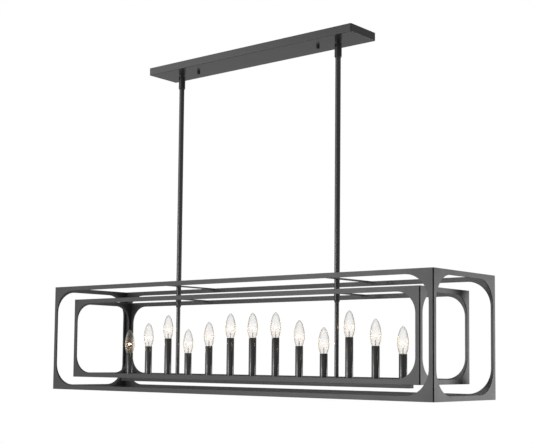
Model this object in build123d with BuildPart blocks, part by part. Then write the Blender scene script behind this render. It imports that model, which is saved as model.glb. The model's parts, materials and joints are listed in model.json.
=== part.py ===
from build123d import *
import math
import os

# A linear island pendant: two nested flat-bar cages round a row of candle lamps, carried by two
# stems from a long ceiling canopy. Millimetres. X runs along the fixture, Y to its rear, Z up.
# The origin is on the ceiling, over the middle of the canopy.

# Ceiling canopy and the strap above it
canopy_length = 810.0
canopy_width = 124.0
canopy_height = 24.0
canopy_wall = 1.2
canopy_corner_radius = 2.5
canopy_edge_radius = 1.5
strap_end_margin = 18.0
strap_width = 25.0
strap_thickness = 2.0
strap_corner_radius = 3.0
box_slot_spacing = 79.4
box_slot_length = 14.4
box_slot_width = 4.8
anchor_hole_spacing = 400.0
anchor_hole_radius = 3.25
thumb_nut_spacing = 484.0
thumb_nut_radius = 5.0
thumb_nut_height = 9.0
thumb_nut_chamfer = 1.2
thumb_nut_grooves = 16
thumb_groove_radius = 0.45
strap_screw_radius = 2.5
strap_screw_head_radius = 4.3
strap_screw_engagement = 6.5
strap_length = thumb_nut_spacing + 2 * strap_end_margin

# Swivels: a hollow ball under the canopy, and the barrel that hangs on it. A pin in the ball runs
# in a slot of the barrel, so that the fixture can swing but not twist its wires.
swing_degrees = 18.0
ball_radius = 7.2
ball_neck_radius = 3.8
swivel_wire_radius = 2.6
ball_flange_radius = 10.0
ball_flange_thickness = 1.5
nipple_radius = 4.8
nipple_wire_radius = 3.0
swivel_nipple_length = 9.0
swivel_nut_across_flats = 14.0
swivel_nut_height = 5.0
swivel_nut_flange_radius = 9.0
swivel_nut_flange_thickness = 1.2
barrel_radius = 10.6
barrel_top_height = 8.0
barrel_top_chamfer = 1.0
barrel_below_canopy = 49.0
barrel_taper_width = 2.2
barrel_taper_height = 4.0
ball_cavity_depth = 12.0
stop_pin_radius = 2.0
stop_pin_recess = 1.0
stop_pin_inset = 0.6
stop_pin_chamfer = 0.4

# Cages
plate_thickness = 3.0
bar_width = 14.0
corner_groove = 2.0
outer_length = 1470.0
outer_width = 328.0
outer_height = 340.0
outer_corner_radius = 72.0
outer_top_drop = 718.0
inner_length = 1348.0
inner_width = 260.0
inner_height = 257.0
inner_corner_radius = 58.0
cross_strap_width = 22.0
cross_strap_thickness = 3.0

# Stems
stem_offset = 316.0
stem_radius = 8.0
lower_tube_radius = 6.35
tube_wall = 1.2
tube_plug_length = 18.0
nipple_grip = 12.0
thread_end = 1.0
coupler_radius = 8.75
coupler_length = 25.5
coupler_taper = 5.0
coupler_socket_depth = 11.0

# Wiring channel
channel_length = 1132.0
channel_width = 25.0
channel_height = 25.0
channel_wall = 1.5
channel_bottom_drop = 12.5
cover_thickness = 1.2
ledge_length = 12.0
ledge_spacing = 380.0
cover_screw_radius = 1.5
cover_screw_head_radius = 2.8
cover_screw_length = 5.0
channel_nut_across_flats = 13.0
channel_nut_height = 3.5

# Candles, left to right: S short, M medium, T tall
candle_pattern = "SMTSMTTTMSTMS"
candle_spacing = 90.0
short_sleeve_height = 68.5
medium_sleeve_height = 90.5
tall_sleeve_height = 115.5
sleeve_radius = 11.5
sleeve_wall = 0.9
post_flange_thickness = 2.0
socket_radius = 9.6
socket_height = 34.0
socket_top_drop = 9.0
post_thread_depth = 9.0

# Bulbs, measured from the rim of their sleeve
bulb_radius = 16.0
bulb_widest_height = 29.0
bulb_shoulder_radius = 9.2
bulb_shoulder_height = 66.0
bulb_height = 77.0
bulb_neck_radius = 6.2
bulb_neck_drop = 7.4
bulb_glass_wall = 0.8
cap_radius = 5.85
cap_length = 16.0
cap_insulator_length = 3.0
cap_contact_radius = 2.4
cap_contact_length = 2.0
bulb_stem_radius = 3.0
bulb_stem_tip_radius = 1.6
bulb_stem_height = 24.0

# Clearances
thread_gap = 0.05
fit_gap = 0.2
swivel_gap = 0.3
lamp_gap = 0.3

bottom = (Align.CENTER, Align.CENTER, Align.MIN)
top = (Align.CENTER, Align.CENTER, Align.MAX)

canopy_under = -canopy_height
outer_top = -outer_top_drop
outer_middle = outer_top - outer_height / 2
inner_middle = outer_middle
inner_top = inner_middle + inner_height / 2
inner_bottom = inner_middle - inner_height / 2
channel_bottom = inner_bottom - channel_bottom_drop
channel_top = channel_bottom + channel_height
coupler_top = inner_top - cross_strap_thickness
stem_places = {"left": -stem_offset, "right": stem_offset}
sleeve_heights = {
    "S": short_sleeve_height,
    "M": medium_sleeve_height,
    "T": tall_sleeve_height,
}
candle_places = [
    ((index - (len(candle_pattern) - 1) / 2) * candle_spacing, kind)
    for index, kind in enumerate(candle_pattern)
]

os.makedirs("parts", exist_ok=True)


def save(piece, label):
    """Names a finished piece and writes its STEP file."""
    piece.part.label = label
    export_step(piece.part, f"parts/{label}.step")


def copies(piece, label, spots):
    """Writes a node that repeats a finished piece at each spot."""
    with BuildPart() as node:
        with Locations(*spots):
            add(piece.part)
    save(node, label)


def both_stems(height):
    """The points on the two stem axes at one height."""
    return [(x, 0, height) for x in stem_places.values()]


def candle_spots(kinds, height):
    """The points at one height on the axes of the candles of these kinds."""
    return [(x, 0, height) for x, kind in candle_places if kind in kinds]


# --- Ceiling canopy: a folded sheet pan, open towards the ceiling -----------------------------
with BuildPart() as ceiling_canopy:
    Box(canopy_length, canopy_width, canopy_height, align=top)
    fillet(ceiling_canopy.edges().filter_by(Axis.Z), canopy_corner_radius)
    fillet(ceiling_canopy.faces().sort_by(Axis.Z)[0].edges(), canopy_edge_radius)
    offset(amount=-canopy_wall, openings=ceiling_canopy.faces().sort_by(Axis.Z)[-1])
    with Locations(*both_stems(canopy_under + canopy_wall)):
        Hole(nipple_radius + fit_gap, canopy_wall)
    with Locations(
        (-thumb_nut_spacing / 2, 0, canopy_under + canopy_wall),
        (thumb_nut_spacing / 2, 0, canopy_under + canopy_wall),
    ):
        Hole(strap_screw_radius + fit_gap, canopy_wall)
save(ceiling_canopy, "ceiling_canopy")

# --- Mounting strap: flat bar with two slots for the junction box and two anchor holes --------
screw_spots = [(-thumb_nut_spacing / 2, 0, 0), (thumb_nut_spacing / 2, 0, 0)]
with BuildPart() as mounting_strap:
    Box(strap_length, strap_width, strap_thickness, align=top)
    fillet(mounting_strap.edges().filter_by(Axis.Z), strap_corner_radius)
    with BuildSketch(Plane.XY):
        with Locations((-box_slot_spacing / 2, 0), (box_slot_spacing / 2, 0)):
            SlotOverall(box_slot_length, box_slot_width)
    extrude(amount=-strap_thickness, mode=Mode.SUBTRACT)
    with Locations((-anchor_hole_spacing / 2, 0, 0), (anchor_hole_spacing / 2, 0, 0)):
        Hole(anchor_hole_radius, strap_thickness)
    with Locations(*screw_spots):
        CounterSinkHole(
            strap_screw_radius + thread_gap,
            strap_screw_head_radius + thread_gap,
            strap_thickness,
            counter_sink_angle=90,
        )
save(mounting_strap, "mounting_strap")

# --- Strap screws: flat-head machine screws that point down through the canopy ----------------
strap_screw_length = canopy_height + strap_screw_engagement
with BuildPart() as strap_screw:
    Cylinder(strap_screw_radius, strap_screw_length, align=top)
    Cone(
        strap_screw_radius,
        strap_screw_head_radius,
        strap_screw_head_radius - strap_screw_radius,
        align=top,
    )
copies(strap_screw, "strap_screws", screw_spots)

# --- Thumb nuts: knurled blind nuts that clamp the canopy to the strap screws ------------------
with BuildPart() as thumb_nut:
    Cylinder(thumb_nut_radius, thumb_nut_height, align=top)
    chamfer(thumb_nut.faces().sort_by(Axis.Z)[0].edges(), thumb_nut_chamfer)
    with PolarLocations(thumb_nut_radius, thumb_nut_grooves):
        Cylinder(thumb_groove_radius, thumb_nut_height, align=top, mode=Mode.SUBTRACT)
    Cylinder(
        strap_screw_radius + thread_gap,
        strap_screw_engagement + fit_gap,
        align=top,
        mode=Mode.SUBTRACT,
    )
copies(
    thumb_nut,
    "thumb_nuts",
    [(x, y, canopy_under) for x, y, z in screw_spots],
)

# --- Swivel balls: hollow turned studs, flanged under the canopy, with the ball at the foot. The
# flange stands clear of the barrel's top corners when the barrel swings.
swing = math.radians(swing_degrees)
top_corners = [
    (barrel_radius - barrel_top_chamfer, barrel_top_height),
    (barrel_radius, barrel_top_height - barrel_top_chamfer),
]
reach = max(r * math.sin(swing) + z * math.cos(swing) for r, z in top_corners)
flange_height = reach + swivel_gap + thread_gap
pivot = canopy_under - ball_flange_thickness - flange_height
stud_top = flange_height + ball_flange_thickness + canopy_wall + swivel_nipple_length
with BuildPart() as swivel_ball:
    Sphere(ball_radius)
    Cylinder(ball_neck_radius, flange_height, align=bottom)
    with Locations((0, 0, flange_height)):
        Cylinder(ball_flange_radius, ball_flange_thickness, align=bottom)
        Cylinder(nipple_radius, stud_top - flange_height, align=bottom)
    with Locations((0, 0, -ball_radius)):
        Cylinder(swivel_wire_radius, ball_radius + stud_top, align=bottom, mode=Mode.SUBTRACT)
    with BuildSketch(Plane.XZ):
        Circle(stop_pin_radius + thread_gap)
    extrude(amount=ball_radius, mode=Mode.SUBTRACT)
for side, x in stem_places.items():
    copies(swivel_ball, f"swivel_ball_{side}", [(x, 0, pivot)])

# --- Swivel nuts: flanged hex nuts that clamp the canopy between themselves and the flange -----
with BuildPart() as swivel_nut:
    with BuildSketch():
        RegularPolygon(swivel_nut_across_flats / 2, 6, major_radius=False)
    extrude(amount=swivel_nut_height)
    Cylinder(swivel_nut_flange_radius, swivel_nut_flange_thickness, align=bottom)
    Cylinder(nipple_radius + thread_gap, swivel_nut_height, align=bottom, mode=Mode.SUBTRACT)
copies(swivel_nut, "swivel_nuts", both_stems(canopy_under + canopy_wall))

# --- Stop pins: each is pressed into a ball from the front and ends inside the barrel's slot ----
pin_start = swivel_wire_radius + stop_pin_inset
pin_end = barrel_radius - stop_pin_recess
with BuildPart() as stop_pin:
    with BuildSketch(Plane.XZ.offset(pin_start)):
        Circle(stop_pin_radius)
    extrude(amount=pin_end - pin_start)
    chamfer(stop_pin.faces().sort_by(Axis.Y)[0].edges(), stop_pin_chamfer)
copies(stop_pin, "swivel_stop_pins", both_stems(pivot))

# --- Swivel barrels: turned sleeves whose inner shoulder hangs on the ball. The mouth flares by
# the swing angle so that the neck clears it, and the slot is as tall as the pin's travel.
cavity_radius = ball_radius + swivel_gap
barrel_foot = canopy_under - barrel_below_canopy - pivot
mouth_slope = math.tan(swing)
mouth_base = ball_neck_radius / math.cos(swing) + swivel_gap
mouth_a = 1 + mouth_slope**2
mouth_b = mouth_slope * mouth_base
mouth_c = mouth_base**2 - cavity_radius**2
seat_height = (math.sqrt(mouth_b**2 - mouth_a * mouth_c) - mouth_b) / mouth_a
seat_radius = mouth_base + mouth_slope * seat_height
mouth_radius = mouth_base + mouth_slope * barrel_top_height
seat_middle = math.atan2(seat_height, seat_radius) / 2
stem_bore_radius = stem_radius + thread_gap
pin_travel = pin_end * math.sin(swing) + stop_pin_radius * math.cos(swing)
with BuildPart() as swivel_barrel:
    with BuildSketch(Plane.XZ):
        with BuildLine():
            Polyline(
                (seat_radius, seat_height),
                (mouth_radius, barrel_top_height),
                (barrel_radius - barrel_top_chamfer, barrel_top_height),
                (barrel_radius, barrel_top_height - barrel_top_chamfer),
                (barrel_radius, barrel_foot + barrel_taper_height),
                (barrel_radius - barrel_taper_width, barrel_foot),
                (stem_bore_radius, barrel_foot),
                (stem_bore_radius, -ball_cavity_depth),
                (cavity_radius, -ball_cavity_depth),
                (cavity_radius, 0),
            )
            ThreePointArc(
                (cavity_radius, 0),
                (cavity_radius * math.cos(seat_middle), cavity_radius * math.sin(seat_middle)),
                (seat_radius, seat_height),
            )
        make_face()
    revolve(axis=Axis.Z)
    with BuildSketch(Plane.XZ):
        SlotOverall(
            2 * (pin_travel + swivel_gap), 2 * (stop_pin_radius + swivel_gap), rotation=90
        )
    extrude(amount=barrel_radius, mode=Mode.SUBTRACT)
for side, x in stem_places.items():
    copies(swivel_barrel, f"swivel_barrel_{side}", [(x, 0, pivot)])

# --- Stems: tubes from the barrels to the inner cage, with a tapped plug in the foot -----------
stem_top = pivot - ball_cavity_depth
stem_length = stem_top - inner_top
with BuildPart() as stem:
    Cylinder(stem_radius, stem_length, align=bottom)
    Cylinder(nipple_radius + thread_gap, tube_plug_length, align=bottom, mode=Mode.SUBTRACT)
    with Locations((0, 0, tube_plug_length)):
        Cylinder(
            stem_radius - tube_wall,
            stem_length - tube_plug_length,
            align=bottom,
            mode=Mode.SUBTRACT,
        )
for side, x in stem_places.items():
    copies(stem, f"stem_{side}", [(x, 0, inner_top)])

# --- Cages: each is four flat plates with a round-cornered opening, laser cut and joined at the
# upright edges. The ends butt against the back of the long plates, which stop short of the
# corner, so a narrow groove runs down each one.


def cage_plates(cage, length, width, height, radius, middle):
    """The front, rear, left and right plates of one cage."""
    opening_height = height - 2 * bar_width
    long_faces = {"front": width / 2 - plate_thickness, "rear": -width / 2}
    for name, distance in long_faces.items():
        with BuildPart() as plate:
            with BuildSketch(Plane.XZ.offset(distance)):
                with Locations((0, middle)):
                    Rectangle(length - 2 * corner_groove, height)
                    RectangleRounded(
                        length - 2 * bar_width, opening_height, radius, mode=Mode.SUBTRACT
                    )
            extrude(amount=plate_thickness)
        save(plate, f"{cage}_{name}_frame")
    end_faces = {"right": length / 2 - plate_thickness, "left": -length / 2}
    for name, distance in end_faces.items():
        with BuildPart() as plate:
            with BuildSketch(Plane.YZ.offset(distance)):
                with Locations((0, middle)):
                    Rectangle(width - 2 * plate_thickness, height)
                    RectangleRounded(
                        width - 2 * bar_width, opening_height, radius, mode=Mode.SUBTRACT
                    )
            extrude(amount=plate_thickness)
        save(plate, f"{cage}_{name}_frame")


def cross_straps(label, width, height, hole_radius):
    """Two flat bars across the top of a cage, with a hole for each stem."""
    with BuildPart() as straps:
        with Locations(*both_stems(height)):
            Box(cross_strap_width, width - 2 * plate_thickness, cross_strap_thickness, align=top)
            Hole(hole_radius, cross_strap_thickness)
    save(straps, label)


cage_plates(
    "outer", outer_length, outer_width, outer_height, outer_corner_radius, outer_middle
)
cage_plates(
    "inner", inner_length, inner_width, inner_height, inner_corner_radius, inner_middle
)
cross_straps("outer_cross_straps", outer_width, outer_top, stem_radius + thread_gap)
cross_straps("inner_cross_straps", inner_width, inner_top, nipple_radius + thread_gap)

# --- Stem couplers: turned nuts that clamp the inner cage to the stems -------------------------
coupler_bottom = coupler_top - coupler_length
tube_top = coupler_bottom + coupler_socket_depth
with BuildPart() as coupler:
    with BuildSketch(Plane.XZ):
        with BuildLine():
            Polyline(
                (nipple_radius + thread_gap, 0),
                (coupler_radius, 0),
                (coupler_radius, coupler_taper - coupler_length),
                (lower_tube_radius + tube_wall / 2, -coupler_length),
                (lower_tube_radius + thread_gap, -coupler_length),
                (lower_tube_radius + thread_gap, coupler_socket_depth - coupler_length),
                (nipple_radius + thread_gap, coupler_socket_depth - coupler_length),
                close=True,
            )
        make_face()
    revolve(axis=Axis.Z)
copies(coupler, "stem_couplers", both_stems(coupler_top))

# --- Lower tubes: from the couplers down to the wiring channel ---------------------------------
lower_tube_length = tube_top - channel_top
with BuildPart() as lower_tube:
    Cylinder(lower_tube_radius, lower_tube_length, align=bottom)
    Cylinder(nipple_radius + thread_gap, tube_plug_length, align=bottom, mode=Mode.SUBTRACT)
    with Locations((0, 0, tube_plug_length)):
        Cylinder(
            lower_tube_radius - tube_wall,
            lower_tube_length - tube_plug_length,
            align=bottom,
            mode=Mode.SUBTRACT,
        )
copies(lower_tube, "lower_tubes", both_stems(channel_top))

# --- Threaded nipples: hollow threaded rods through the inner cage and the channel's top -------
upper_nipple_top = inner_top + nipple_grip
upper_nipple_length = upper_nipple_top - tube_top
lower_nipple_top = channel_top + nipple_grip
lower_nipple_length = nipple_grip + channel_wall + channel_nut_height + thread_end
with BuildPart() as threaded_nipples:
    with Locations(*both_stems(upper_nipple_top)):
        Cylinder(nipple_radius, upper_nipple_length, align=top)
        Cylinder(nipple_wire_radius, upper_nipple_length, align=top, mode=Mode.SUBTRACT)
    with Locations(*both_stems(lower_nipple_top)):
        Cylinder(nipple_radius, lower_nipple_length, align=top)
        Cylinder(nipple_wire_radius, lower_nipple_length, align=top, mode=Mode.SUBTRACT)
save(threaded_nipples, "threaded_nipples")

# --- Wiring channel: an inverted folded channel with closed ends and ledges for its cover ------
channel_inner_length = channel_length - 2 * channel_wall
channel_inner_width = channel_width - 2 * channel_wall
ledge_outer_x = (channel_inner_length - ledge_length) / 2
ledge_x = [-ledge_outer_x, -ledge_spacing / 2, ledge_spacing / 2, ledge_outer_x]
ledge_bottom = channel_bottom + cover_thickness
thread_spots = candle_spots("SMT", channel_top) + both_stems(channel_top)
with BuildPart() as wiring_channel:
    with Locations((0, 0, channel_bottom)):
        Box(channel_length, channel_width, channel_height, align=bottom)
        Box(
            channel_inner_length,
            channel_inner_width,
            channel_height - channel_wall,
            align=bottom,
            mode=Mode.SUBTRACT,
        )
    with Locations(*[(x, 0, ledge_bottom) for x in ledge_x]):
        Box(ledge_length, channel_inner_width, channel_wall, align=bottom)
    with Locations(*[(x, 0, ledge_bottom + channel_wall) for x in ledge_x]):
        Hole(cover_screw_radius + thread_gap, channel_wall)
    with Locations(*thread_spots):
        Hole(nipple_radius + thread_gap, channel_wall)
save(wiring_channel, "wiring_channel")

# --- Channel cover: a flat strip that closes the channel, held by flush screws -----------------
with BuildPart() as channel_cover:
    with Locations((0, 0, channel_bottom)):
        Box(
            channel_inner_length - 2 * fit_gap,
            channel_inner_width - 2 * fit_gap,
            cover_thickness,
            align=bottom,
        )
    for x in ledge_x:
        with BuildSketch(Plane.XY.offset(channel_bottom)):
            with Locations((x, 0)):
                Circle(cover_screw_head_radius + thread_gap)
        extrude(amount=cover_thickness, taper=45, mode=Mode.SUBTRACT)
save(channel_cover, "channel_cover")

cover_head_tip_radius = cover_screw_head_radius - cover_thickness
with BuildPart() as cover_screw:
    Cone(cover_screw_head_radius, cover_head_tip_radius, cover_thickness, align=bottom)
    Cylinder(cover_screw_radius, cover_screw_length, align=bottom)
copies(cover_screw, "cover_screws", [(x, 0, channel_bottom) for x in ledge_x])

# --- Channel nuts: one on every nipple and post that comes through the channel's top -----------
with BuildPart() as channel_nut:
    with BuildSketch():
        RegularPolygon(channel_nut_across_flats / 2, 6, major_radius=False)
        Circle(nipple_radius + thread_gap, mode=Mode.SUBTRACT)
    extrude(amount=-channel_nut_height)
copies(
    channel_nut,
    "channel_nuts",
    [(x, y, channel_top - channel_wall) for x, y, z in thread_spots],
)

# --- Candle sleeves: tubes that stand on the channel, one node for each of three heights -------
sleeve_bore_radius = sleeve_radius - sleeve_wall
sleeve_names = {"S": "short", "M": "medium", "T": "tall"}
for kind, name in sleeve_names.items():
    with BuildPart() as candle_sleeves:
        with Locations(*candle_spots(kind, channel_top)):
            Cylinder(sleeve_radius, sleeve_heights[kind], align=bottom)
            Cylinder(
                sleeve_bore_radius, sleeve_heights[kind], align=bottom, mode=Mode.SUBTRACT
            )
    save(candle_sleeves, f"candle_sleeves_{name}")

# --- Socket posts: hollow threaded posts, flanged on the channel, that hold the sockets up -----
post_foot = channel_wall + channel_nut_height + thread_end
with BuildPart() as socket_posts:
    for kind, sleeve_height in sleeve_heights.items():
        socket_foot = sleeve_height - socket_top_drop - socket_height
        post_length = post_foot + socket_foot + post_thread_depth
        with Locations(*candle_spots(kind, channel_top)):
            Cylinder(sleeve_bore_radius - fit_gap, post_flange_thickness, align=bottom)
        with Locations(*candle_spots(kind, channel_top - post_foot)):
            Cylinder(nipple_radius, post_length, align=bottom)
            Cylinder(nipple_wire_radius, post_length, align=bottom, mode=Mode.SUBTRACT)
save(socket_posts, "socket_posts")

# --- Lamp sockets: moulded sockets inside the sleeves, bored for the bulb's cap ----------------
cap_tip_drop = bulb_neck_drop + cap_length + cap_insulator_length + cap_contact_length
with BuildPart() as lamp_socket:
    with Locations((0, 0, -socket_top_drop)):
        Cylinder(socket_radius, socket_height, align=top)
        Cylinder(
            cap_radius + lamp_gap,
            cap_tip_drop + lamp_gap - socket_top_drop,
            align=top,
            mode=Mode.SUBTRACT,
        )
    with Locations((0, 0, -socket_top_drop - socket_height)):
        Cylinder(
            nipple_radius + thread_gap, post_thread_depth, align=bottom, mode=Mode.SUBTRACT
        )
copies(
    lamp_socket,
    "lamp_sockets",
    [(x, 0, channel_top + sleeve_heights[kind]) for x, kind in candle_places],
)

# --- Bulbs: candle lamps with a clear blown envelope on a small screw cap. Tangent arcs run from
# the widest point down to the neck and up to the shoulder, and a short curve closes the tip.


def bulb_wall(inset):
    """One side of the envelope's wall, and its two ends."""
    neck = (bulb_neck_radius - inset, -bulb_neck_drop)
    widest = (bulb_radius - inset, bulb_widest_height)
    shoulder = (bulb_shoulder_radius - inset, bulb_shoulder_height - inset / 2)
    tip = (0, bulb_height - 1.5 * inset)
    TangentArc(widest, neck, tangent=(0, -1))
    flank = TangentArc(widest, shoulder, tangent=(0, 1))
    Spline(shoulder, tip, tangents=[flank % 1, (-1, 0)])
    return neck, tip


with BuildPart() as bulb_glass:
    with BuildSketch(Plane.XZ):
        with BuildLine():
            outer_neck, outer_tip = bulb_wall(0)
            inner_neck, inner_tip = bulb_wall(bulb_glass_wall)
            Line(outer_neck, inner_neck)
            Line(outer_tip, inner_tip)
        make_face()
    revolve(axis=Axis.Z)

with BuildPart() as bulb_base:
    with Locations((0, 0, -bulb_neck_drop)):
        Cylinder(cap_radius, cap_length, align=top)
        Cone(bulb_stem_radius, bulb_stem_tip_radius, bulb_stem_height, align=bottom)
    with Locations((0, 0, -bulb_neck_drop - cap_length)):
        Cone(cap_contact_radius, cap_radius, cap_insulator_length, align=top)
    with Locations((0, 0, -cap_tip_drop)):
        Cylinder(cap_contact_radius, cap_contact_length, align=bottom)

for number, (x, kind) in enumerate(candle_places, start=1):
    rim = channel_top + sleeve_heights[kind]
    copies(bulb_glass, f"bulb_glass_{number:02d}", [(x, 0, rim)])
    copies(bulb_base, f"bulb_base_{number:02d}", [(x, 0, rim)])
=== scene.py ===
import json
import math

import bmesh
import bpy
from mathutils import Matrix, Vector

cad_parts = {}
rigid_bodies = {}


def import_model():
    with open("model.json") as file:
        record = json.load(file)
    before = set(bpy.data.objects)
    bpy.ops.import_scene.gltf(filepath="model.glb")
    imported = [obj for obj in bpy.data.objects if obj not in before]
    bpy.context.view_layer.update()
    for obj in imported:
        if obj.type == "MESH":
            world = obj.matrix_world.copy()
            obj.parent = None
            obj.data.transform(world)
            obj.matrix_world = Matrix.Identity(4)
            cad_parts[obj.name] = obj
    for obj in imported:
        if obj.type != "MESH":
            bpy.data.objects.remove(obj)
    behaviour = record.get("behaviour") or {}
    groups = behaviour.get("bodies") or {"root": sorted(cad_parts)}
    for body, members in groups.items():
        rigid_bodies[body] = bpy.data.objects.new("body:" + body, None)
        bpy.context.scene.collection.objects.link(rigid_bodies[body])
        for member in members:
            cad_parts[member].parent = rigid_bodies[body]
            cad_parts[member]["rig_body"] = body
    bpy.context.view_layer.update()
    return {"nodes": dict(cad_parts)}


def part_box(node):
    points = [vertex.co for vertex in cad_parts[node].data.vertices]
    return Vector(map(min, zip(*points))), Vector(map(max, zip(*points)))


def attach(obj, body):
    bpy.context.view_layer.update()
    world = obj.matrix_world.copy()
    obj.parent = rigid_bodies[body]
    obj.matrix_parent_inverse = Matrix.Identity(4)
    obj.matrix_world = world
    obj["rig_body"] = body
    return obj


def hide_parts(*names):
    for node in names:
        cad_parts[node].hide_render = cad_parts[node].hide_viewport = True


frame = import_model()


# The camera stands to the right of the fixture and a little below its middle, as it does in the
# photograph. The lens is shifted upwards so that the picture's frame holds the canopy.
picture_width, picture_height = 533, 444
focal_pixels, axis_row = 1113.75, 275
camera_place = (2.19824, -2.59328, -0.95982)
view_yaw, view_pitch, view_roll = -0.691266, 0.077494, 0.009962


def put_in_scene(name, data):
    """An object at the origin for a camera, a lamp or a finished mesh."""
    piece = bpy.data.objects.new(name, data)
    bpy.context.scene.collection.objects.link(piece)
    return piece


ahead = Vector((
    math.sin(view_yaw) * math.cos(view_pitch),
    math.cos(view_yaw) * math.cos(view_pitch),
    math.sin(view_pitch),
))
level = Vector((math.cos(view_yaw), -math.sin(view_yaw), 0.0))
upward = level.cross(ahead)
right = level * math.cos(view_roll) + upward * math.sin(view_roll)
upward = upward * math.cos(view_roll) - level * math.sin(view_roll)
camera_lens = bpy.data.cameras.new("camera")
camera_lens.sensor_fit = "HORIZONTAL"
camera_lens.sensor_width = 36.0
camera_lens.lens = focal_pixels / picture_width * camera_lens.sensor_width
camera_lens.shift_y = (axis_row - picture_height / 2) / picture_width
camera_lens.clip_end = 60.0
camera = put_in_scene("camera", camera_lens)
camera.matrix_world = Matrix.Translation(camera_place) @ Matrix((
    (right.x, upward.x, -ahead.x),
    (right.y, upward.y, -ahead.y),
    (right.z, upward.z, -ahead.z),
)).to_4x4()
bpy.context.scene.camera = camera
bpy.context.scene.view_settings.view_transform = "Standard"


# The studio is a white surround with three soft lamps: a tall one to the left in front, a narrow
# key beside it, and one behind on the right for the end plates. The surround is pure white to the
# camera and through the glass, and dimmer as light.
surround_light, surround_gleam = 0.18, 0.22


def reckon(tree, operation, *values):
    """The outcome of a math node on numbers and other nodes' outputs."""
    step = tree.nodes.new("ShaderNodeMath")
    step.operation = operation
    for socket, value in zip(step.inputs, values):
        if isinstance(value, bpy.types.NodeSocket):
            tree.links.new(value, socket)
        else:
            socket.default_value = value
    return step.outputs[0]


world = bpy.data.worlds.new("studio")
world.use_nodes = True
bpy.context.scene.world = world
tree = world.node_tree
surround = tree.nodes["Background"]
surround.inputs["Color"].default_value = (1.0, 1.0, 1.0, 1.0)
ray = tree.nodes.new("ShaderNodeLightPath").outputs
seen = reckon(tree, "MAXIMUM", ray["Is Camera Ray"], ray["Is Transmission Ray"])
shed = reckon(tree, "MULTIPLY_ADD", ray["Is Glossy Ray"], surround_gleam, surround_light)
tree.links.new(reckon(tree, "MAXIMUM", seen, shed), surround.inputs["Strength"])


def softbox(name, place, target, width, height, watts):
    """A soft rectangular lamp that faces a point."""
    light = bpy.data.lights.new(name, "AREA")
    light.shape = "RECTANGLE"
    light.size = width
    light.size_y = height
    light.energy = watts
    lamp = put_in_scene(name, light)
    toward = Vector(target) - Vector(place)
    lamp.matrix_world = (
        Matrix.Translation(place) @ toward.to_track_quat("-Z", "Y").to_matrix().to_4x4()
    )
    lamp.visible_camera = False


softbox(
    "front_softbox",
    place=(-1.8, -2.4, -0.24), target=(-0.1, 0.0, -0.6), width=2.4, height=2.4, watts=30.0,
)
softbox(
    "key_softbox",
    place=(-0.75, -2.35, -0.85), target=(0.0, 0.0, -0.85), width=0.5, height=1.2, watts=17.0,
)
softbox(
    "rear_softbox",
    place=(2.5, 2.7, -0.95), target=(0.7, 0.0, -0.9), width=1.2, height=1.0, watts=24.0,
)


# The floor is a plain pale sheet, so far under the fixture that it can be seen from beneath.
# It is close to white where the camera sees it, and lights the undersides in reflection.
floor_height, floor_reach = -4.5, 9.0
floor_white, floor_gleam = 0.80, 0.22


def new_finish(name):
    """A finish with its node tree and its main shader."""
    finish = bpy.data.materials.new(name)
    finish.use_nodes = True
    return finish, finish.node_tree, finish.node_tree.nodes["Principled BSDF"]


mesh = bmesh.new()
bmesh.ops.create_grid(
    mesh,
    x_segments=1,
    y_segments=1,
    size=floor_reach,
    matrix=Matrix.Translation((0, 0, floor_height)),
)
floor_mesh = bpy.data.meshes.new("floor")
mesh.to_mesh(floor_mesh)
mesh.free()
floor = put_in_scene("floor", floor_mesh)
floor_paint, tree, shader = new_finish("pale_floor")
shader.inputs["Base Color"].default_value = (0.86, 0.86, 0.86, 1.0)
shader.inputs["Roughness"].default_value = 0.9
shader.inputs["Emission Color"].default_value = (1.0, 1.0, 1.0, 1.0)
ray = tree.nodes.new("ShaderNodeLightPath").outputs
lift = reckon(tree, "MULTIPLY", ray["Is Camera Ray"], floor_white)
lift = reckon(tree, "MULTIPLY_ADD", ray["Is Glossy Ray"], floor_gleam, lift)
tree.links.new(lift, shader.inputs["Emission Strength"])
floor_mesh.materials.append(floor_paint)


# Ceiling canopy: a folded steel pan, powder coated in a smooth semi-gloss black, which mirrors
# the swivel barrels a little. It is closed against the ceiling by two thumb nuts.
haze_scale, haze_detail, gloss_play, peel_depth = 22.0, 3.0, 0.04, 0.0001
darker_share, lighter_share = (0.86, 0.86, 0.88), (1.14, 1.14, 1.15)


def cloud(tree, scale, detail=2.0, stretch=None):
    """A cloudy pattern from 0 to 1, on a piece's own coordinates."""
    place = tree.nodes.new("ShaderNodeTexCoord").outputs["Object"]
    if stretch:
        drawn = tree.nodes.new("ShaderNodeMapping")
        drawn.inputs["Scale"].default_value = stretch
        tree.links.new(place, drawn.inputs["Vector"])
        place = drawn.outputs["Vector"]
    pattern = tree.nodes.new("ShaderNodeTexNoise")
    pattern.inputs["Scale"].default_value = scale
    pattern.inputs["Detail"].default_value = detail
    tree.links.new(place, pattern.inputs["Vector"])
    return pattern.outputs["Fac"]


def tint(tree, pattern, dark, light, socket):
    """Colours a socket from dark to light as a pattern goes."""
    shade = tree.nodes.new("ShaderNodeMix")
    shade.data_type = "RGBA"
    shade.inputs["A"].default_value = (*dark, 1.0)
    shade.inputs["B"].default_value = (*light, 1.0)
    tree.links.new(pattern, shade.inputs["Factor"])
    tree.links.new(shade.outputs["Result"], socket)


def spread(tree, pattern, low, high):
    """A pattern from 0 to 1 carried over to the range from low to high."""
    span = tree.nodes.new("ShaderNodeMapRange")
    span.inputs["To Min"].default_value = low
    span.inputs["To Max"].default_value = high
    tree.links.new(pattern, span.inputs["Value"])
    return span.outputs["Result"]


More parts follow.
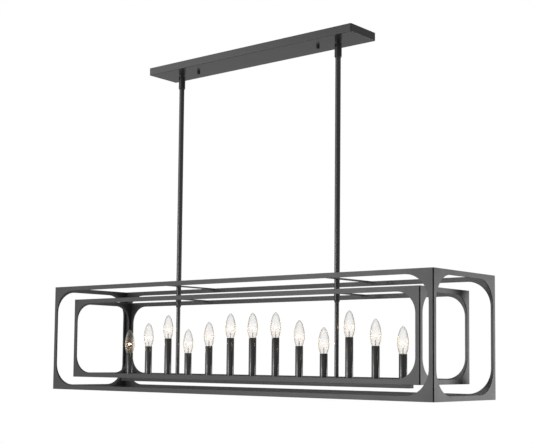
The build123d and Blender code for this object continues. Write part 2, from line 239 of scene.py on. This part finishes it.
def powder_coat(name, tone, roughness, grain, relief, gleam=0.5):
    """Black powder coat: a faint cloud of tone and gloss over a fine orange-peel surface."""
    coat, tree, shader = new_finish(name)
    haze = cloud(tree, haze_scale, haze_detail)
    dark = [tone * share for share in darker_share]
    light = [tone * share for share in lighter_share]
    tint(tree, haze, dark, light, shader.inputs["Base Color"])
    gloss = spread(tree, haze, roughness - gloss_play, roughness + gloss_play)
    tree.links.new(gloss, shader.inputs["Roughness"])
    bump = tree.nodes.new("ShaderNodeBump")
    bump.inputs["Strength"].default_value = relief
    bump.inputs["Distance"].default_value = peel_depth
    tree.links.new(cloud(tree, grain), bump.inputs["Height"])
    tree.links.new(bump.outputs["Normal"], shader.inputs["Normal"])
    shader.inputs["Specular IOR Level"].default_value = gleam
    return coat


def finish_node(node, finish):
    """Gives a carried-over CAD node its finish."""
    mesh = frame["nodes"][node].data
    mesh.materials.clear()
    mesh.materials.append(finish)


canopy_coat = powder_coat("canopy_black", tone=0.040, roughness=0.24, grain=900.0, relief=0.10)
finish_node("ceiling_canopy", canopy_coat)


# Mounting strap and its two screws: bright zinc-plated steel, hidden in the canopy. The strap is
# screwed to the ceiling box, and its screws hold the thumb nuts.
drawn_scale, dull_share, plate_gloss_play = (20.0, 600.0, 600.0), 0.85, 0.08


def plated_steel(name, colour, roughness):
    """Plated metal with a fine drawn grain along its length."""
    plate, tree, shader = new_finish(name)
    shader.inputs["Metallic"].default_value = 1.0
    grain = cloud(tree, 1.0, detail=4.0, stretch=drawn_scale)
    dull = [channel * dull_share for channel in colour]
    tint(tree, grain, dull, colour, shader.inputs["Base Color"])
    gloss = spread(tree, grain, roughness - plate_gloss_play, roughness + plate_gloss_play)
    tree.links.new(gloss, shader.inputs["Roughness"])
    return plate


zinc = plated_steel("zinc_plate", colour=(0.62, 0.63, 0.64), roughness=0.34)
finish_node("mounting_strap", zinc)
finish_node("strap_screws", zinc)


# Thumb nuts: small knurled blind nuts, turned from steel and coated satin black. They are turned
# up by hand on the strap's screws, and press the canopy against the ceiling.
fittings_coat = powder_coat("fittings_black", tone=0.024, roughness=0.34, grain=1400.0, relief=0.12)
finish_node("thumb_nuts", fittings_coat)


# Swivels: a turned ball stud through the canopy, its zinc nut inside, and the black barrel that
# hangs on the ball and grips the stem. A dark pin in the ball runs in the barrel's front slot.
for side in ("left", "right"):
    finish_node(f"swivel_ball_{side}", fittings_coat)
    finish_node(f"swivel_barrel_{side}", fittings_coat)
finish_node("swivel_nuts", zinc)
pin_steel = plated_steel("blackened_steel", colour=(0.03, 0.03, 0.032), roughness=0.45)
finish_node("swivel_stop_pins", pin_steel)


# Stems: long steel tubes in satin black from the barrels to the inner cage, turned couplers under
# its cross straps, and thinner tubes on down to the wiring channel.
tube_coat = powder_coat(
    "tube_black", tone=0.036, roughness=0.27, grain=1100.0, relief=0.04, gleam=0.75
)
for tube in ("stem_left", "stem_right", "stem_couplers", "lower_tubes"):
    finish_node(tube, tube_coat)
finish_node("threaded_nipples", zinc)


# Cages: laser-cut steel plates with round-cornered openings, joined at the upright edges, where a
# narrow groove runs down each corner. Satin black, with their cut edges eased before coating.
cage_coat = powder_coat("cage_black", tone=0.036, roughness=0.42, grain=1200.0, relief=0.16)
plate_easing = 0.0004
same_spot, same_plane, sharp_corner, square_on = 1e-6, math.radians(0.5), math.radians(40), 0.9999


def eased(node, radius, finish):
    """A piece with the shape of a CAD node, its sharp edges rounded off, in place of the node."""
    mesh = bmesh.new()
    mesh.from_mesh(frame["nodes"][node].data)
    bmesh.ops.remove_doubles(mesh, verts=mesh.verts, dist=same_spot)
    bmesh.ops.dissolve_limit(
        mesh, angle_limit=same_plane, verts=mesh.verts, edges=mesh.edges
    )
    bmesh.ops.bevel(
        mesh,
        geom=[edge for edge in mesh.edges if edge.calc_face_angle(0.0) > sharp_corner],
        offset=radius,
        segments=2,
        affect="EDGES",
        profile=0.5,
        material=-1,
        clamp_overlap=True,
    )
    for face in mesh.faces:
        face.smooth = max(abs(part) for part in face.normal) < square_on
    shape = bpy.data.meshes.new(f"{node}_eased")
    mesh.to_mesh(shape)
    mesh.free()
    shape.materials.append(finish)
    piece = put_in_scene(f"{node}_eased", shape)
    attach(piece, frame["nodes"][node]["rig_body"])
    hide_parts(node)


for cage in ("outer", "inner"):
    for side in ("front", "rear", "left", "right"):
        eased(f"{cage}_{side}_frame", plate_easing, cage_coat)


# Cross straps: flat bars across the tops of both cages. The outer ones are welded round the stems
# and the inner ones carry the inner cage on the stems' feet.
eased("outer_cross_straps", plate_easing, cage_coat)
eased("inner_cross_straps", plate_easing, cage_coat)


# Wiring channel: a folded steel channel with closed ends, open below and shut by a flush strip
# on four small screws. The candle posts and the stems are nutted through its top.
fold_easing = 0.0005
eased("wiring_channel", fold_easing, cage_coat)
finish_node("channel_cover", cage_coat)
finish_node("cover_screws", fittings_coat)
finish_node("channel_nuts", zinc)
finish_node("socket_posts", zinc)


# Candle sleeves: plain black tubes that stand on the channel, cut to three lengths, with the cut
# ends rounded. Each slips over its socket.
sleeve_coat = powder_coat(
    "sleeve_black", tone=0.028, roughness=0.24, grain=1000.0, relief=0.03, gleam=0.85
)
sleeve_radius, sleeve_bore, rim_round = 0.0115, 0.0106, 0.0003
candle_order = "SMTSMTTTMSTMS"
candle_pitch = 0.090
sleeve_lengths = {"S": "short", "M": "medium", "T": "tall"}
same_ring, crease = 1e-7, math.radians(50)


def turn(name, outline, finish, steps, closed=True, spots=((0.0, 0.0, 0.0),)):
    """A mesh turned from an outline of (radius, height) points, repeated at each spot."""
    mesh = bmesh.new()
    ring = [mesh.verts.new((radius, 0.0, height)) for radius, height in outline]
    edges = [mesh.edges.new(pair) for pair in zip(ring, ring[1:])]
    if closed:
        edges.append(mesh.edges.new((ring[-1], ring[0])))
    bmesh.ops.spin(
        mesh,
        geom=ring + edges,
        cent=(0, 0, 0),
        axis=(0, 0, 1),
        angle=math.tau,
        steps=steps,
        use_merge=True,
    )
    bmesh.ops.remove_doubles(mesh, verts=mesh.verts, dist=same_ring)
    bmesh.ops.recalc_face_normals(mesh, faces=mesh.faces)
    for face in mesh.faces:
        face.smooth = True
    for edge in mesh.edges:
        edge.smooth = edge.calc_face_angle(0.0) < crease
    one = mesh.faces[:] + mesh.edges[:] + mesh.verts[:]
    first = mesh.verts[:]
    for spot in spots[1:]:
        copy = bmesh.ops.duplicate(mesh, geom=one)["geom"]
        moved = [part for part in copy if isinstance(part, bmesh.types.BMVert)]
        bmesh.ops.translate(mesh, verts=moved, vec=Vector(spot))
    bmesh.ops.translate(mesh, verts=first, vec=Vector(spots[0]))
    shape = bpy.data.meshes.new(name)
    mesh.to_mesh(shape)
    mesh.free()
    shape.materials.append(finish)
    return shape


def candle_x(index):
    """A candle's place along the channel, with the middle candle at 0."""
    return (index - len(candle_order) // 2) * candle_pitch


sleeve_tops = {}
for letter, length in sleeve_lengths.items():
    foot, top = (corner.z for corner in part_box(f"candle_sleeves_{length}"))
    sleeve_tops[letter] = top
    tall = top - foot
    sleeves = put_in_scene(f"sleeves_{length}", turn(
        f"sleeves_{length}",
        [
            (sleeve_radius, 0.0),
            (sleeve_radius, tall - rim_round),
            (sleeve_radius - rim_round, tall),
            (sleeve_bore + rim_round, tall),
            (sleeve_bore, tall - rim_round),
            (sleeve_bore, 0.0),
        ],
        sleeve_coat,
        steps=64,
        spots=[
            (candle_x(index), 0.0, foot)
            for index, candle in enumerate(candle_order)
            if candle == letter
        ],
    ))
    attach(sleeves, "hanging")
    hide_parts(f"candle_sleeves_{length}")


# Lamp sockets: moulded phenolic bodies deep in the sleeves, on hollow posts. Only their tops show
# when a bulb is taken out.
fleck_scale, fleck_detail = 700.0, 3.0
phenolic, tree, shader = new_finish("phenolic")
fleck = cloud(tree, fleck_scale, fleck_detail)
tint(tree, fleck, (0.030, 0.026, 0.022), (0.060, 0.052, 0.044), shader.inputs["Base Color"])
shader.inputs["Roughness"].default_value = 0.5
finish_node("lamp_sockets", phenolic)


# Bulbs: clear blown candle lamps. A thin glass envelope, a threaded brass cap with a black glass
# insulator and a solder tip, and inside a glass mount with two lead wires and a lit filament.
# Heights are above the sleeve's rim, and the envelope's neck stands a little below it.
bulb_radius, bulb_widest, bulb_neck, bulb_drop = 0.016, 0.029, 0.0062, 0.0074
shoulder_radius, shoulder_height, bulb_top = 0.0092, 0.066, 0.077
tip_round, tip_rise, tip_reach = 0.78, 1.18, 0.985
glass_wall, flank_steps = 0.0006, 26
lower_arc = ((bulb_radius - bulb_neck) ** 2 + (bulb_widest + bulb_drop) ** 2) / (
    2 * (bulb_radius - bulb_neck)
)
upper_arc = ((bulb_radius - shoulder_radius) ** 2 + (shoulder_height - bulb_widest) ** 2) / (
    2 * (bulb_radius - shoulder_radius)
)
outside = []
for step in range(flank_steps + 1):
    height = -bulb_drop + (shoulder_height + bulb_drop) * step / flank_steps
    arc = lower_arc if height < bulb_widest else upper_arc
    across = bulb_radius - arc + math.sqrt(arc**2 - (height - bulb_widest) ** 2)
    outside.append((across, height))
for turned in (0.25, 0.5, 0.7, 0.85, 0.95):
    risen = (1 - (1 - turned) ** tip_rise) * tip_reach
    outside.append((
        shoulder_radius * (1 - turned) ** tip_round,
        shoulder_height + (bulb_top - shoulder_height) * risen,
    ))
outside.append((0.0, bulb_top - 0.0001))
inside = [
    (max(across - glass_wall, 0.0), height - (glass_wall if height > shoulder_height else 0.0))
    for across, height in outside
]
wave_scale, wave_detail, wave_share, edge_power = 60.0, 1.0, 0.05, 2.0


def clear_glass(name, tone, face_veil, edge_veil):
    """Thin clear glass: nearly nothing face on, and a pale grey veil with gloss at its edges."""
    glass, tree, shader = new_finish(name)
    shader.inputs["Base Color"].default_value = (*tone, 1.0)
    shader.inputs["Roughness"].default_value = 0.03
    shader.inputs["IOR"].default_value = 1.5
    facing = tree.nodes.new("ShaderNodeLayerWeight")
    facing.inputs["Blend"].default_value = 0.5
    edge = reckon(tree, "POWER", facing.outputs["Facing"], edge_power)
    uneven = reckon(tree, "MULTIPLY", cloud(tree, wave_scale, wave_detail), wave_share)
    veil = reckon(tree, "ADD", spread(tree, edge, face_veil, edge_veil), uneven)
    tree.links.new(veil, shader.inputs["Alpha"])
    return glass


envelope_glass = clear_glass(
    "envelope_glass", tone=(0.58, 0.58, 0.57), face_veil=0.025, edge_veil=0.90
)
amber_glass = clear_glass(
    "mount_glass", tone=(0.52, 0.34, 0.14), face_veil=0.30, edge_veil=0.75
)
brass = plated_steel("cap_brass", colour=(0.80, 0.62, 0.32), roughness=0.26)
nickel = plated_steel("lead_nickel", colour=(0.62, 0.42, 0.26), roughness=0.30)

swirl_scale, heat_scale = 400.0, 900.0
black_glass, tree, shader = new_finish("black_glass")
swirl = cloud(tree, swirl_scale)
tint(tree, swirl, (0.010, 0.008, 0.014), (0.022, 0.018, 0.028), shader.inputs["Base Color"])
shader.inputs["Roughness"].default_value = 0.12

lit_filament, tree, shader = new_finish("lit_filament")
shader.inputs["Base Color"].default_value = (0.30, 0.22, 0.14, 1.0)
shader.inputs["Roughness"].default_value = 0.5
heat = cloud(tree, heat_scale)
tint(tree, heat, (1.0, 0.62, 0.25), (1.0, 0.80, 0.46), shader.inputs["Emission Color"])
shader.inputs["Emission Strength"].default_value = 30.0


def wire(name, points, radius, finish):
    """A thin wire through a few points, as a mesh."""
    line = bpy.data.curves.new(name, "CURVE")
    line.dimensions = "3D"
    line.bevel_depth = radius
    line.bevel_resolution = 2
    line.use_fill_caps = True
    spline = line.splines.new("NURBS")
    spline.points.add(len(points) - 1)
    for point, spot in zip(spline.points, points):
        point.co = (*spot, 1.0)
    spline.order_u = 3
    spline.use_endpoint_u = True
    spline.resolution_u = 4
    drawn = put_in_scene(name, line)
    bpy.context.view_layer.update()
    scene_now = bpy.context.evaluated_depsgraph_get()
    shape = bpy.data.meshes.new_from_object(drawn.evaluated_get(scene_now))
    bpy.data.objects.remove(drawn)
    shape.materials.clear()
    shape.materials.append(finish)
    return shape


envelope = turn("envelope", outside + inside[::-1], envelope_glass, steps=48)

cap_radius, cap_foot_radius, cap_bore = 0.00582, 0.0052, 0.0030
cap_length, collar, thread_start, plain_ends = 0.016, 0.0022, 0.0024, 0.0032
thread_pitch, thread_depth, thread_relief, thread_steps = 0.00254, 0.00045, 0.0001, 8
cap_rim, cap_foot = -bulb_drop - 0.0002, -bulb_drop - cap_length
cap_turns = int((cap_length - plain_ends) / thread_pitch)
cap_outline = [(cap_radius, cap_rim), (cap_radius, -bulb_drop - collar)]
for step in range(cap_turns * thread_steps + 1):
    dip = thread_depth * (0.5 - 0.5 * math.cos(step * math.tau / thread_steps))
    cap_outline.append((
        cap_radius - thread_relief - dip,
        -bulb_drop - thread_start - step * thread_pitch / thread_steps,
    ))
cap_outline += [(cap_foot_radius, cap_foot), (cap_bore, cap_foot), (cap_bore, cap_rim)]
cap = turn("cap", cap_outline, brass, steps=40)
insulator = turn(
    "insulator",
    [
        (0.0, cap_foot - 0.0001),
        (0.0051, cap_foot - 0.0001),
        (0.0046, cap_foot - 0.0012),
        (0.0026, cap_foot - 0.0030),
        (0.0, cap_foot - 0.0030),
    ],
    black_glass,
    steps=40,
    closed=False,
)
tip_contact = turn(
    "tip_contact",
    [
        (0.0, cap_foot - 0.0031),
        (0.0023, cap_foot - 0.0031),
        (0.0021, cap_foot - 0.0041),
        (0.0012, cap_foot - 0.0048),
        (0.0, cap_foot - 0.0049),
    ],
    nickel,
    steps=32,
    closed=False,
)
mount_glass = turn(
    "mount_glass",
    [
        (0.0, -bulb_drop + 0.0002),
        (0.0042, -bulb_drop + 0.0002),
        (0.0030, -bulb_drop + 0.0040),
        (0.0021, 0.0030),
        (0.0018, 0.0110),
        (0.0022, 0.0140),
        (0.0012, 0.0162),
        (0.0, 0.0166),
    ],
    amber_glass,
    steps=32,
    closed=False,
)

lead_radius, filament_radius = 0.00022, 0.00018
coil_turns, coil_radius, coil_steps = 22, 0.0006, 6
filament_height, filament_half, filament_rise = 0.0275, 0.0056, 0.0034
leads = [
    wire(
        f"lead_{side}",
        [
            (side * 0.0008, 0, 0.0020),
            (side * 0.0010, 0, 0.0150),
            (side * 0.0036, 0, 0.0215),
            (side * filament_half, 0, filament_height),
        ],
        lead_radius,
        nickel,
    )
    for side in (-1, 1)
]
coil_points = []
for step in range(coil_turns * coil_steps + 1):
    along = step / (coil_turns * coil_steps)
    swing = step * math.tau / coil_steps
    arch = filament_height + filament_rise * math.sin(along * math.pi)
    coil_points.append((
        -filament_half + 2 * filament_half * along,
        coil_radius * math.cos(swing),
        arch + coil_radius * math.sin(swing),
    ))
filament = wire("filament", coil_points, filament_radius, lit_filament)

bulb_parts = [
    ("envelope", [envelope], "bulb_glass", "bulb_glass"),
    ("cap", [cap], "bulb_cap", "bulb_base"),
    ("insulator", [insulator], "bulb_cap", None),
    ("tip_contact", [tip_contact], "bulb_cap", None),
    ("mount_glass", [mount_glass], "bulb_glass", None),
    ("leads", leads, "bulb_cap", None),
    ("filament", [filament], "bulb_cap", None),
]
turn_between = 47
glow_watts, glow_radius, glow_height = 0.020, 0.004, filament_height + 0.002
glow_colour = (1.0, 0.72, 0.40)
for index, letter in enumerate(candle_order):
    number = f"{index + 1:02d}"
    rim = Matrix.Translation((candle_x(index), 0.0, sleeve_tops[letter]))
    turned_to = Matrix.Rotation(math.radians((index * turn_between) % 180), 4, "Z")
    for part_name, shapes, slot_name, node in bulb_parts:
        mesh = bmesh.new()
        for shape in shapes:
            mesh.from_mesh(shape)
        bmesh.ops.transform(mesh, matrix=rim @ turned_to, verts=mesh.verts)
        placed = shapes[0].copy()
        placed.name = f"{part_name}_{number}"
        mesh.to_mesh(placed)
        mesh.free()
        piece = put_in_scene(f"bulb_{part_name}_{number}", placed)
        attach(piece, f"bulb_{number}")
        if node:
            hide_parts(f"{node}_{number}")
    # The light of the filament, which the bulb carries with it.
    light = bpy.data.lights.new(f"bulb_light_{number}", "POINT")
    light.energy = glow_watts
    light.color = glow_colour
    light.shadow_soft_size = glow_radius
    lamp = put_in_scene(f"bulb_light_{number}", light)
    lamp.location = rim @ Vector((0.0, 0.0, glow_height))
    lamp.visible_camera = False
    lamp.parent = piece
